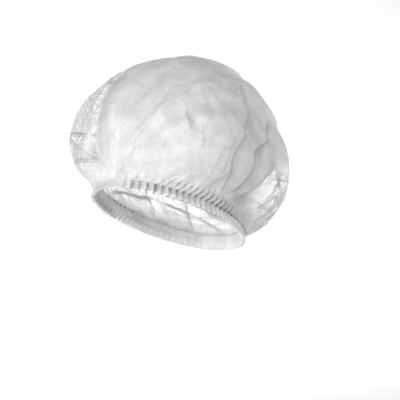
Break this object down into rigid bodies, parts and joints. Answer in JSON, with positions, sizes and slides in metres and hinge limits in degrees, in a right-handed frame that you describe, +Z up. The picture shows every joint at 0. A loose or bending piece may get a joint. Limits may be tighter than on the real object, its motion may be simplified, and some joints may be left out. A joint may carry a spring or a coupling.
{
  "type": "clip cap",
  "caption": "Disposable bouffant clip cap of pleated non-woven cloth, worn shape: puffed crown, gathered frilled edge on an elastic ring, open below for the head.",
  "frame": {"origin": "middle of the head opening, on the plane of the elastic, where the cap sits on a head", "axes": "+Z up as worn, -Y the front (forehead), +Y the back (nape), +X the wearer's left; the opening is tilted, high at the front and low at the back"},
  "size_m": [0.2373, 0.2715, 0.2509],
  "materials": {
    "nonwoven_cloth": "matt white spunbond polypropylene, thin enough to see through",
    "elastic": "matt white round elastic"
  },
  "bodies": {
    "root": {"crown": "nonwoven_cloth", "elastic_band": "elastic"}
  },
  "joints": []
}
